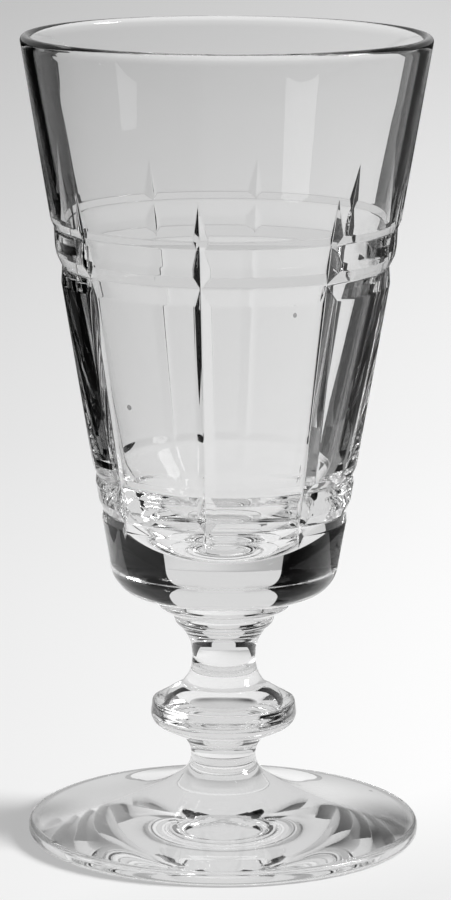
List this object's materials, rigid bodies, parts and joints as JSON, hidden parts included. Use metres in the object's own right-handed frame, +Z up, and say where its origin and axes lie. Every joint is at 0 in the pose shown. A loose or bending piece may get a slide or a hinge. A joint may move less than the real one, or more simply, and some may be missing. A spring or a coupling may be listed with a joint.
{
  "type": "juice glass",
  "caption": "Footed juice glass of clear cut crystal: a tapered bowl with ring and mitre cuts, carried on a knopped stem and a wide round foot.",
  "frame": {"origin": "centre of the foot's resting ring, on the table", "axes": "+Z up the axis of the glass, towards the rim; the mitre cut nearest the front faces -Y"},
  "size_m": [0.0606, 0.0606, 0.121],
  "materials": {
    "crystal": "polished, clear and colourless"
  },
  "bodies": {
    "root": {"bowl": "crystal", "merese": "crystal", "stem_collar": "crystal", "upper_stem": "crystal", "knop": "crystal", "lower_stem": "crystal", "foot": "crystal"}
  },
  "joints": []
}
